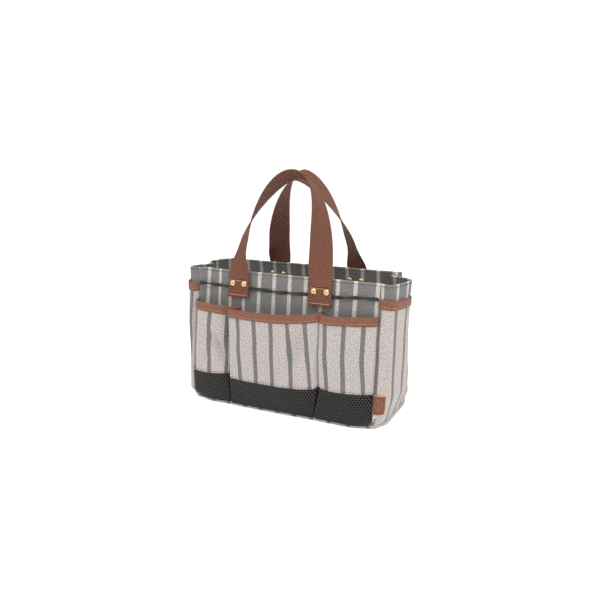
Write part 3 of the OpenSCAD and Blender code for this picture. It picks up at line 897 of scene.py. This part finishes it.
def net_mesh(name, grid, cell):
    """Warp-knit net on a grid of points: a honeycomb whose holes are each cell's own hexagon drawn
    in towards its middle. Cell corners are laid out flat on the cloth and carried onto the grid by
    linear interpolation."""
    width, height = run_length(grid, 1), run_length(grid, 0)
    cols = int(width[-1] / cell)
    step_x = width[-1] / (cols + 0.5)
    rows = int(height[-1] / (cell * 0.80))
    step_y = height[-1] / (rows + 0.34)
    i, j = np.meshgrid(np.arange(rows), np.arange(cols), indexing="ij")
    middle_x = (j + 0.5 + 0.5 * (i % 2)) * step_x
    middle_y = (i + 0.67) * step_y
    a = np.pi / 6 + np.arange(6) * np.pi / 3
    corner = np.stack([np.cos(a) / math.cos(math.pi / 6) * 0.5 * step_x, np.sin(a) * 0.667 * step_y], axis=1)
    centre = np.stack([middle_x, middle_y], axis=2).reshape(-1, 1, 2)
    outer = centre + corner[None]
    hole = centre + corner[None] * hole_share
    flat = np.concatenate([outer, hole], axis=1).reshape(-1, 2)
    keys, back = np.unique(np.round(flat / 1e-6).astype(np.int64), axis=0, return_inverse=True)
    back = back.reshape(-1, 12)
    k = np.arange(6)
    faces = np.stack([back[:, k], back[:, (k + 1) % 6], back[:, 6 + (k + 1) % 6], back[:, 6 + k]], axis=2)
    u = np.interp(keys[:, 0] * 1e-6, width, np.arange(len(width)))
    v = np.interp(keys[:, 1] * 1e-6, height, np.arange(len(height)))
    c, r = np.minimum(u.astype(int), len(width) - 2), np.minimum(v.astype(int), len(height) - 2)
    fu, fv = (u - c)[:, None], (v - r)[:, None]
    points = ((1 - fv) * ((1 - fu) * grid[r, c] + fu * grid[r, c + 1])
              + fv * ((1 - fu) * grid[r + 1, c] + fu * grid[r + 1, c + 1]))
    return add_mesh(name, points, faces.reshape(-1, 4).tolist(), soft=False)


# a stripe of each pocket stands at this x when the mouth is looked at square on
stripe_at = {"left": -0.1092, "centre": -0.0345, "right": 0.1002}
pocket_cols = {"left": 60, "centre": 120, "right": 80}
net_cell = 0.0041
hole_share = [0.72, 0.79]  # of a cell's width and height
for wall_name, turned, dents in (("front", False, front_dents), ("rear", True, rear_dents)):
    for place in ("left", "centre", "right"):
        t = np.linspace(0.0, 1.0, pocket_cols[place])
        mesh_top_of = lambda x: np.interp(x / MM, *mesh_lines[place]) * MM
        face = lambda t, low, high, s, off: pocket_face(place, t, low, high, s, off, dents, turned)
        label = wall_name + "_" + place
        s = np.linspace(0.0, 1.0, 34)
        grid = face(t, foot_of, mesh_top_of, s, 0.0)
        net = net_mesh(label + "_net", grid, net_cell)
        thicken(net, mesh_net_t, 1.0)
        finish_piece(net, black_net, "mesh", "bag", label + "_mesh")
        # painted shade: a near-black sheet just behind each net darkens its holes
        grid = face(t, foot_of, mesh_top_of, s, -0.0004)
        shade_behind = sheet_mesh(label + "_net_shade_sheet", grid)
        thicken(shade_behind, 0.0003)
        finish_piece(shade_behind, net_shade_sheet, "mesh", "bag")

        s = np.linspace(0.0, 1.0, 54)
        points = face(t, lambda x: mesh_top_of(x) - 0.0012, lambda x: mouth_of(x) - 0.0012, s, pocket_off)
        across = run_length(points[30:44], 1)
        mark = np.interp(stripe_at[place], points[-1, :, 0] * (-1 if turned else 1), across)
        cloth = sheet_mesh(label + "_canvas", points, across=across - mark % pocket_pitch)
        thicken(cloth, canvas_t)
        finish_piece(cloth, pale_canvas, "pocket_cloth", "bag", label + "_pocket")

        height, off = bound_mouth(binding_reach)
        two = np.array([0.0, 1.0])
        points = np.stack([
            face(t, lambda x: mouth_of(x) + h, lambda x: mouth_of(x) + h + 0.0001, two, o + pocket_off)[0]
            for h, o in zip(height, off)])
        tape = sheet_mesh(label + "_mouth_binding", points)
        thicken(tape, binding_t - 0.0001)
        finish_piece(tape, brown_tape, "binding", "bag", label + "_binding")

        tape_line = face(t[3:-3], lambda x: mouth_of(x) - binding_reach + stitch_up, mouth_of, two,
                         pocket_off + binding_t + stitch_off)[0]
        stitch_rows(label + "_binding_stitches", [tape_line], tan_thread, "binding", *binding_stitch)
        hem_line = face(t[3:-3], lambda x: mesh_top_of(x) + 0.0016, mouth_of, two, 0.00085)[0]
        stitch_rows(label + "_hem_stitches", [hem_line], dark_thread, "pocket_cloth")

# ---------------------------------------------------------------------------------------------
# Handles: one length of brown twill webbing each. Either end is folded under and sewn flat to the
# wall over the elastic; the loop between stands up, leans inward and turns over towards its top.

strap_w = 0.0340
strap_t = 0.0021
leg_x = (-0.0718, 0.0582)
handle_middle = sum(leg_x) / 2
loop_foot = 0.188
loop_lean = math.radians(14.0)
# how each loop stands: exponent of its arch, height, sideways drift of its top, push of its two
# legs to the side, and the early turn of the two
loop_ways = {"front": (2.05, 0.155, 0.0109, -0.0030, -0.0022, 9.0, 6.0),
             "rear": (1.74, 0.1525, 0.0134, 0.0, 0.0, 12.0, 16.0)}
loop_turn = math.radians(101.0)
loop_turn_rate = 1.15
sewn_length = 0.0258
outer_off = 0.0044        # middle of the upper layer of a sewn end, out from the wall
under_off = 0.0022        # middle of the layer folded under it
wall_lean = math.atan((foot_y - rim_y) / rim_height)
wall_up = np.array([0.0, math.sin(wall_lean), math.cos(wall_lean)])
wall_out = np.array([0.0, -math.cos(wall_lean), math.sin(wall_lean)])


def wall_place(x, z, up=0.0, out=0.0):
    """Points of the front wall's plane at x and z, moved up along it and out from it."""
    x, up, out = np.broadcast_arrays(np.asarray(x, float), up, out)
    at = np.stack([x, np.full(x.shape, -float(wall_depth(z))), np.full(x.shape, z)], axis=-1)
    return at + wall_up * up[..., None] + wall_out * out[..., None]


def loop_line(t, way):
    """Middle line of the loop, t from 0 to pi: an arch |cos|^(2/n), |sin|^(2/n) in a leaning plane,
    its top drifting sideways with the square of its rise and its legs pushed to the side."""
    loop_round, loop_height, loop_skew = way[:3]
    across = -0.5 * (leg_x[1] - leg_x[0]) * np.sign(np.cos(t)) * np.abs(np.cos(t)) ** (2 / loop_round)
    up = loop_height * np.abs(np.sin(t)) ** (2 / loop_round)
    rise = up / loop_height
    foot = wall_place(0.0, loop_foot, 0.0, outer_off)
    push = np.where(t < np.pi / 2, way[3], way[4])
    across = across + push * smooth(rise / 0.2) * (1 - smooth((rise - 0.45) / 0.5))
    points = np.stack([handle_middle + across + loop_skew * rise ** 2,
                       foot[1] + up * math.sin(loop_lean), foot[2] + up * math.cos(loop_lean)], axis=1)
    return points, rise


def strap_path(way):
    """The whole strap from one hidden end to the other: under the sewn end, round its fold, up the
    wall, over the loop and down again, as points with the share of the loop's rise."""
    fold = np.linspace(-0.5 * np.pi, 0.5 * np.pi, 9)
    fold_r = 0.5 * (outer_off - under_off)
    low = -sewn_length + fold_r
    up = np.r_[np.linspace(-0.0015, low, 10)[:-1], low - fold_r * np.cos(fold),
               np.linspace(low, -0.0004, 12)[1:]]
    out = np.r_[np.full(9, under_off), 0.5 * (outer_off + under_off) + fold_r * np.sin(fold),
                np.full(11, outer_off)]
    left = wall_place(leg_x[0], loop_foot, up, out)
    right = wall_place(leg_x[1], loop_foot, up, out)[::-1]
    t = np.pi * (0.5 - 0.5 * np.cos(np.linspace(0.0, np.pi, 160)[1:-1]))
    loop, rise = loop_line(t, way)
    return (np.concatenate([left, loop, right]),
            np.r_[np.zeros(len(left)), rise, np.zeros(len(right))], len(left), len(left) + len(loop))


def strap_frames(path, rise, first, last, way):
    """Direction, outward face and width direction along the strap. On the wall the face looks out
    of it round the fold; on the loop it turns about the line by turn = a (1 - (1 - rise)^b), with
    an early swell c exp(-((rise - 0.25) / 0.12)^2)."""
    d = np.gradient(path, axis=0)
    d /= np.linalg.norm(d, axis=1, keepdims=True)
    back = np.array([0.0, math.cos(loop_lean), -math.sin(loop_lean)])
    settled = np.clip((rise - 0.02) / 0.98, 0.0, 1.0)
    early = np.where(np.arange(len(rise)) < (first + last) / 2, way[5], way[6])
    swell = np.radians(early) * np.exp(-((rise - 0.25) / 0.12) ** 2) * smooth(rise / 0.15)
    turn = (loop_turn * (1 - (1 - settled) ** loop_turn_rate) + swell)[:, None]
    side = np.cross(d, back)
    face = -np.cos(turn) * back + np.sin(turn) * side
    across = np.cross(d, face)
    on_wall = np.cross(d, np.array([1.0, 0.0, 0.0]))
    on_wall[last:] *= -1.0
    ways = np.cross(d, on_wall)
    across[:first] = ways[:first]
    across[last:] = ways[last:]
    across /= np.linalg.norm(across, axis=1, keepdims=True)
    face = np.cross(across, d)
    return d, face / np.linalg.norm(face, axis=1, keepdims=True), across


def make_twill():
    """Diamond twill: two families of slanting ribs that cross. Each is the sine of the distance
    along the webbing plus or minus the distance across it; Height is their sum, the first family
    the stronger, and Shade is about 1."""
    group, given, made = new_group(
        "diamond_twill",
        [("Cloth", "NodeSocketVector", None), ("Pitch", "NodeSocketFloat", 0.0042),
         ("Contrast", "NodeSocketFloat", 0.3)],
        [("Height", "NodeSocketFloat"), ("Shade", "NodeSocketFloat")])
    parts = node(group, "ShaderNodeSeparateXYZ")
    group.links.new(given.outputs["Cloth"], parts.inputs[0])
    ribs = []
    for way in ("ADD", "SUBTRACT"):
        slant = sum_of(group, way, parts.outputs[1], parts.outputs[0])
        phase = sum_of(group, "DIVIDE", slant, given.outputs["Pitch"])
        ribs.append(sum_of(group, "SINE", sum_of(group, "MULTIPLY", phase, 2 * math.pi)))
    rib = sum_of(group, "ADD", sum_of(group, "MULTIPLY", ribs[0], 0.9),
                 sum_of(group, "MULTIPLY", ribs[1], 0.55))
    noise = node(group, "ShaderNodeTexNoise")
    noise.inputs["Scale"].default_value = 800.0
    noise.inputs["Detail"].default_value = 3.0
    group.links.new(given.outputs["Cloth"], noise.inputs["Vector"])
    uneven = sum_of(group, "SUBTRACT", noise.outputs["Fac"], 0.5)
    swing = sum_of(group, "ADD", sum_of(group, "MULTIPLY", rib, 0.5), sum_of(group, "MULTIPLY", uneven, 1.6))
    shade = sum_of(group, "ADD", sum_of(group, "MULTIPLY", swing, given.outputs["Contrast"]), 1.0)
    group.links.new(shade, made.inputs["Shade"])
    group.links.new(sum_of(group, "ADD", rib, sum_of(group, "MULTIPLY", uneven, 2.0)), made.inputs["Height"])
    return group


brown_webbing, webbing_shader = woven("brown_webbing", make_twill(), (0.175, 0.068, 0.040), 0.72,
                                      (0.9, 0.0009), Contrast=0.95)
webbing_shader.inputs["Specular IOR Level"].default_value = 0.3

# the webbing's section: a flat oval |a|^6 + |b|^2 whose edges are the woven selvedges
a = np.linspace(0.0, 2 * np.pi, 41)[:-1]
section_w = 0.5 * strap_w * np.sign(np.cos(a)) * np.abs(np.cos(a)) ** 0.34
section_t = 0.5 * strap_t * np.sign(np.sin(a)) * np.abs(np.sin(a)) ** 0.6
around = np.r_[0.0, np.cumsum(np.hypot(np.diff(section_w), np.diff(section_t)))]
# two zigzag rows of stitches across each sewn end
zigzag_rows = (-0.0022, -0.0228)
zigzag_x = np.linspace(-0.0148, 0.0148, 27)
zigzag_up = 0.0009 * np.where(np.arange(27) % 2, 1.0, -1.0)

for side, body, turned in (("front", "front_handle", 1.0), ("rear", "rear_handle", -1.0)):
    path, rise, first, last = strap_path(loop_ways[side])
    ways, faces, widths = strap_frames(path, rise, first, last, loop_ways[side])
    along = np.r_[0.0, np.cumsum(np.linalg.norm(np.diff(path, axis=0), axis=1))]
    close = np.r_[0.02, 0.8, np.ones(len(path) - 4), 0.8, 0.02]
    strap = (path[:, None] + widths[:, None] * (section_w[None, :, None])
             + faces[:, None] * (section_t[None, :] * close[:, None])[..., None])
    points = strap * [turned, turned, 1.0]
    webbing = sheet_mesh(side + "_webbing", points, across=around, up=along, closed=True)
    webbing.data.materials.append(brown_webbing)
    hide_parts(side + "_left_handle_end", side + "_right_handle_end", side + "_handle_loop")
    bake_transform(webbing)

    rows = []
    for x in leg_x:
        for height in zigzag_rows:
            rows.append(wall_place(x + zigzag_x, loop_foot, height + zigzag_up,
                                   outer_off + 0.5 * strap_t + 0.0002) * [turned, turned, 1.0])
    stitch_rows(side + "_handle_stitches", rows, tan_thread, "webbing", pitch=0.0021, length=0.0019,
                width=0.0004)

# ---------------------------------------------------------------------------------------------
# Elastic: a narrow black elastic along each long wall, tucked into the corner seams and sewn under
# the handle ends. It turns over on itself a few times, sags between the ends and rises beside them.

black_elastic, elastic_tree, elastic_shader = new_material("black_elastic", roughness=0.6)
elastic_rib = node(elastic_tree, "ShaderNodeTexWave", bands_direction="X")
elastic_rib.inputs["Scale"].default_value = 420.0
elastic_rib.inputs["Distortion"].default_value = 1.0
elastic_tree.links.new(own_coordinates(elastic_tree), elastic_rib.inputs["Vector"])
ribs = blended(elastic_tree, elastic_rib.outputs["Fac"], (0.003, 0.003, 0.003), (0.012, 0.012, 0.012))
elastic_tree.links.new(ribs, elastic_shader.inputs["Base Color"])
add_bump(elastic_tree, elastic_shader, elastic_rib.outputs["Fac"], 0.5, 0.0002)

# its section is an oval that turns with the distance along and lies flat under the handle ends
elastic_z = 0.176
twist_pitch = 0.074
x = np.linspace(-seam_x, seam_x, 420)
under = np.minimum.reduce([np.maximum(np.abs(x - leg) - 0.5 * strap_w, 0.0) for leg in leg_x])
free = smooth(under / 0.008)
spin = 2 * np.pi * (x / twist_pitch + 0.11 * np.sin(x * 61.0))
spin = np.where(free < 1.0, np.round(spin / np.pi) * np.pi * (1 - free) + spin * free, spin)
oval = np.linspace(0.0, 2 * np.pi, 17)[:-1]
wide, thin = 0.0025, 0.0011
lift = 0.0007 + np.abs(np.sin(spin)) * (wide - thin) * free
dip = 0.0012 * smooth(under / 0.05) * np.sin(np.pi * np.clip((x - leg_x[0]) / (leg_x[1] - leg_x[0]), 0, 1))
dip -= 0.0030 * smooth((x - leg_x[1] - 0.018) / 0.05) + 0.0014 * smooth((leg_x[0] - 0.018 - x) / 0.04)
tuck_in = 0.0034 * smooth((np.abs(x) - seam_x + 0.0025) / 0.0025)
long_way, short_way = np.cos(oval)[None] * wide, np.sin(oval)[None] * thin
ring_up = long_way * np.cos(spin)[:, None] - short_way * np.sin(spin)[:, None]
ring_out = long_way * np.sin(spin)[:, None] + short_way * np.cos(spin)[:, None]
line = wall_place(x[:, None] + 0.0 * ring_up, elastic_z, ring_up - dip[:, None],
                  ring_out + (lift - tuck_in)[:, None])
for side, turned in (("front", 1.0), ("rear", -1.0)):
    band = sheet_mesh(side + "_elastic_band", (line * [turned, turned, 1.0])[:, ::-1], closed=True)
    finish_piece(band, black_elastic, "elastic", "bag", side + "_elastic")

# ---------------------------------------------------------------------------------------------
# Rivets: two brass caps through each sewn end, with posts to washers inside the wall.

rivet_z = 0.1815
rivet_pitch = 0.019

brass, brass_tree, brass_shader = new_material("brass", roughness=0.3)
brass_noise = noise_in(brass_tree, 500.0, detail=4.0)
brass_tree.links.new(blended(brass_tree, brass_noise, (0.40, 0.28, 0.12), (0.72, 0.58, 0.33)),
                     brass_shader.inputs["Base Color"])
brass_tree.links.new(sum_of(brass_tree, "MULTIPLY_ADD", brass_noise, 0.25, 0.2),
                     brass_shader.inputs["Roughness"])
brass_shader.inputs["Metallic"].default_value = 1.0

turn = np.linspace(0.0, 2 * np.pi, 49)[:-1]
# half-profile of a cap as (radius, height): a rolled edge, then a dome
cap_profile = np.array([(0.0, 0.0), (0.0040, 0.0), (0.0045, 0.0003), (0.00455, 0.0007),
                        (0.0042, 0.0010), (0.0037, 0.0014), (0.0030, 0.0020), (0.0021, 0.0024),
                        (0.0011, 0.00262), (0.00005, 0.0027)])
cap_profile = curve(cap_profile, np.linspace(0.0, 1.0, 40))
# how far inside the wall's outer plane the inner caps sit on their washers
inner_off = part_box("front_rivet_posts")[1][1] + float(wall_depth(rivet_z)) - 0.0004
for side, turned in (("front", 1.0), ("rear", -1.0)):
    parts = []
    for x in leg_x:
        for shift in (-0.5 * rivet_pitch, 0.5 * rivet_pitch):
            for off, way in ((outer_off + 0.5 * strap_t, 1.0), (-inner_off, -1.0)):
                centre = wall_place(x + shift, rivet_z, 0.0, off)
                r, h = cap_profile[:, 0:1], cap_profile[:, 1:2]
                flat = np.stack([way * r * np.cos(turn), r * np.sin(turn), way * h + 0.0 * turn], axis=2)
                parts.append((centre + flat[..., 0:1] * [1.0, 0.0, 0.0] + flat[..., 1:2] * wall_up
                              + flat[..., 2:3] * wall_out) * [turned, turned, 1.0])
    count, ring = cap_profile.shape[0], len(turn)
    r, c = np.meshgrid(np.arange(count - 1), np.arange(ring), indexing="ij")
    quad = np.stack([r * ring + c, r * ring + (c + 1) % ring, (r + 1) * ring + (c + 1) % ring,
                     (r + 1) * ring + c], axis=2).reshape(-1, 4)
    domes = add_mesh(side + "_rivet_domes", np.concatenate([part.reshape(-1, 3) for part in parts]),
                     np.concatenate([quad + k * count * ring for k in range(len(parts))]).tolist())
    finish_piece(domes, brass, "brass", "bag", side + "_rivet_caps")
    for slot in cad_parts[side + "_rivet_posts"].material_slots:
        slot.material = brass

# ---------------------------------------------------------------------------------------------
# Label: a small tag of red-brown leather sewn over the front edge of the right-hand end, pressed
# with a plain leaf inside a line border.

label_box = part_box("leather_label")
label_w, label_h, label_t = 0.018, 0.027, 0.0016
label_off = 0.0008        # its back, out from the end pocket's plan curves
border_half = (0.0072, 0.0117)
leaf_half = (0.0046, 0.0082)
vein_pitch = 0.0026

leather, leather_tree, leather_shader = new_material("leather", roughness=0.48)
hide = blended(leather_tree, noise_in(leather_tree, 260.0), (0.080, 0.021, 0.014), (0.150, 0.040, 0.025))
cut_edge = node(leather_tree, "ShaderNodeAttribute", attribute_name="cut_edge").outputs["Fac"]
leather_tree.links.new(blended(leather_tree, cut_edge, hide, (0.55, 0.29, 0.12)),
                       leather_shader.inputs["Base Color"])
leather_grain = node(leather_tree, "ShaderNodeTexVoronoi")
leather_grain.inputs["Scale"].default_value = 1300.0
leather_tree.links.new(own_coordinates(leather_tree), leather_grain.inputs["Vector"])
add_bump(leather_tree, leather_shader, leather_grain.outputs["Distance"], 0.35, 0.0002)

skin = end_pocket_skin(right_pocket_levels, 0.4)
rows, cols = 110, 80
u = np.r_[0.0, np.linspace(0.0, 1.0, cols), 1.0]
v = np.r_[0.0, np.linspace(0.0, 1.0, rows), 1.0]
z = np.array([0.036, 0.037])
reach = run_length(raised(skin(end_t, z), z, 0.001), 1)
t_far = float(np.interp(label_w, reach, end_t))
label_z = mix(label_box[0][2], label_box[1][2], v)
plan = skin(0.002 + (t_far - 0.002) * u, label_z)
U, V = np.meshgrid(u, v)
X, Y = (U - 0.5) * label_w, (V - 0.5) * (label_box[1][2] - label_box[0][2])
to_border = np.maximum(np.abs(X) / border_half[0], np.abs(Y) / border_half[1])
line_border = np.exp(-((to_border - 1.0) / 0.022) ** 2)
leaf = (np.abs(X) / leaf_half[0]) + (np.abs(Y) / leaf_half[1]) ** 2
outline = np.exp(-((leaf - 1.0) / 0.11) ** 2) * (np.abs(Y) < 0.0086)
rib = np.exp(-(X / 0.00028) ** 2) * (np.abs(Y) < 0.0096)
vein = (Y - np.abs(X) * 0.9) / vein_pitch
veins = np.exp(-((vein - np.round(vein)) / 0.09) ** 2) * (leaf < 0.95)
pressed = np.clip(line_border + outline + rib + veins, 0.0, 1.0)
rim_drop = np.minimum.reduce([U * label_w, (1 - U) * label_w, V * label_h, (1 - V) * label_h])
top = label_off + label_t - 0.00022 * pressed - 0.0005 * (1 - smooth(rim_drop / 0.0009))
edge = np.ones_like(U, bool)
edge[1:-1, 1:-1] = False
top[edge] = label_off
n = outward(plan)
flat = plan + n * top[..., None]
points = np.concatenate([flat, np.broadcast_to(label_z[:, None, None], flat.shape[:2] + (1,))], axis=2)
tag = sheet_mesh("label_leather", points)
cut = tag.data.attributes.new("cut_edge", "FLOAT", "POINT")
paler = np.maximum(1 - smooth((rim_drop - 0.0001) / 0.0007), 0.24 * pressed)
cut.data.foreach_set("value", paler.reshape(-1).astype(np.float32))
finish_piece(tag, leather, "leather", "bag", "leather_label")
